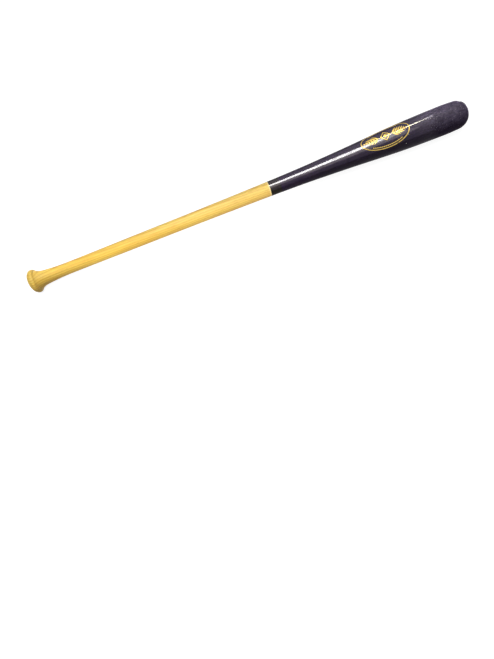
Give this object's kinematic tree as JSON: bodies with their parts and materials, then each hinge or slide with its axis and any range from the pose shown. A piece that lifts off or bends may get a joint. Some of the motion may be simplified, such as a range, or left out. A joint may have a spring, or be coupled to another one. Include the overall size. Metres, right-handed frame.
{
  "type": "wooden baseball bat",
  "caption": "Long, slim turned wooden baseball bat: flared knob, clear-lacquered handle, black throat band, dark lacquered barrel with a gold foil oval.",
  "frame": {"origin": "centre of the knob's flat end face", "axes": "+X along the bat's axis from the knob to the barrel's end, +Z out of the barrel through the middle of the label, +Y to the far side of the label"},
  "size_m": [0.9398, 0.0568, 0.0568],
  "materials": {
    "lacquered_wood": "natural wood under clear lacquer, satin to gloss",
    "band_black": "black gloss lacquer",
    "barrel_navy": "navy-black gloss lacquer, scuffed matte at the hitting end",
    "gold_foil": "gold foil, lightly worn"
  },
  "bodies": {
    "root": {"billet": "lacquered_wood", "throat_band": "band_black", "barrel_coat": "barrel_navy", "label_ring": "gold_foil", "label_diamond": "gold_foil", "label_diamond_core": "gold_foil", "label_sprig_handle_side": "gold_foil", "label_sprig_end_side": "gold_foil", "label_garland_near": "gold_foil", "label_garland_far": "gold_foil"}
  },
  "joints": []
}
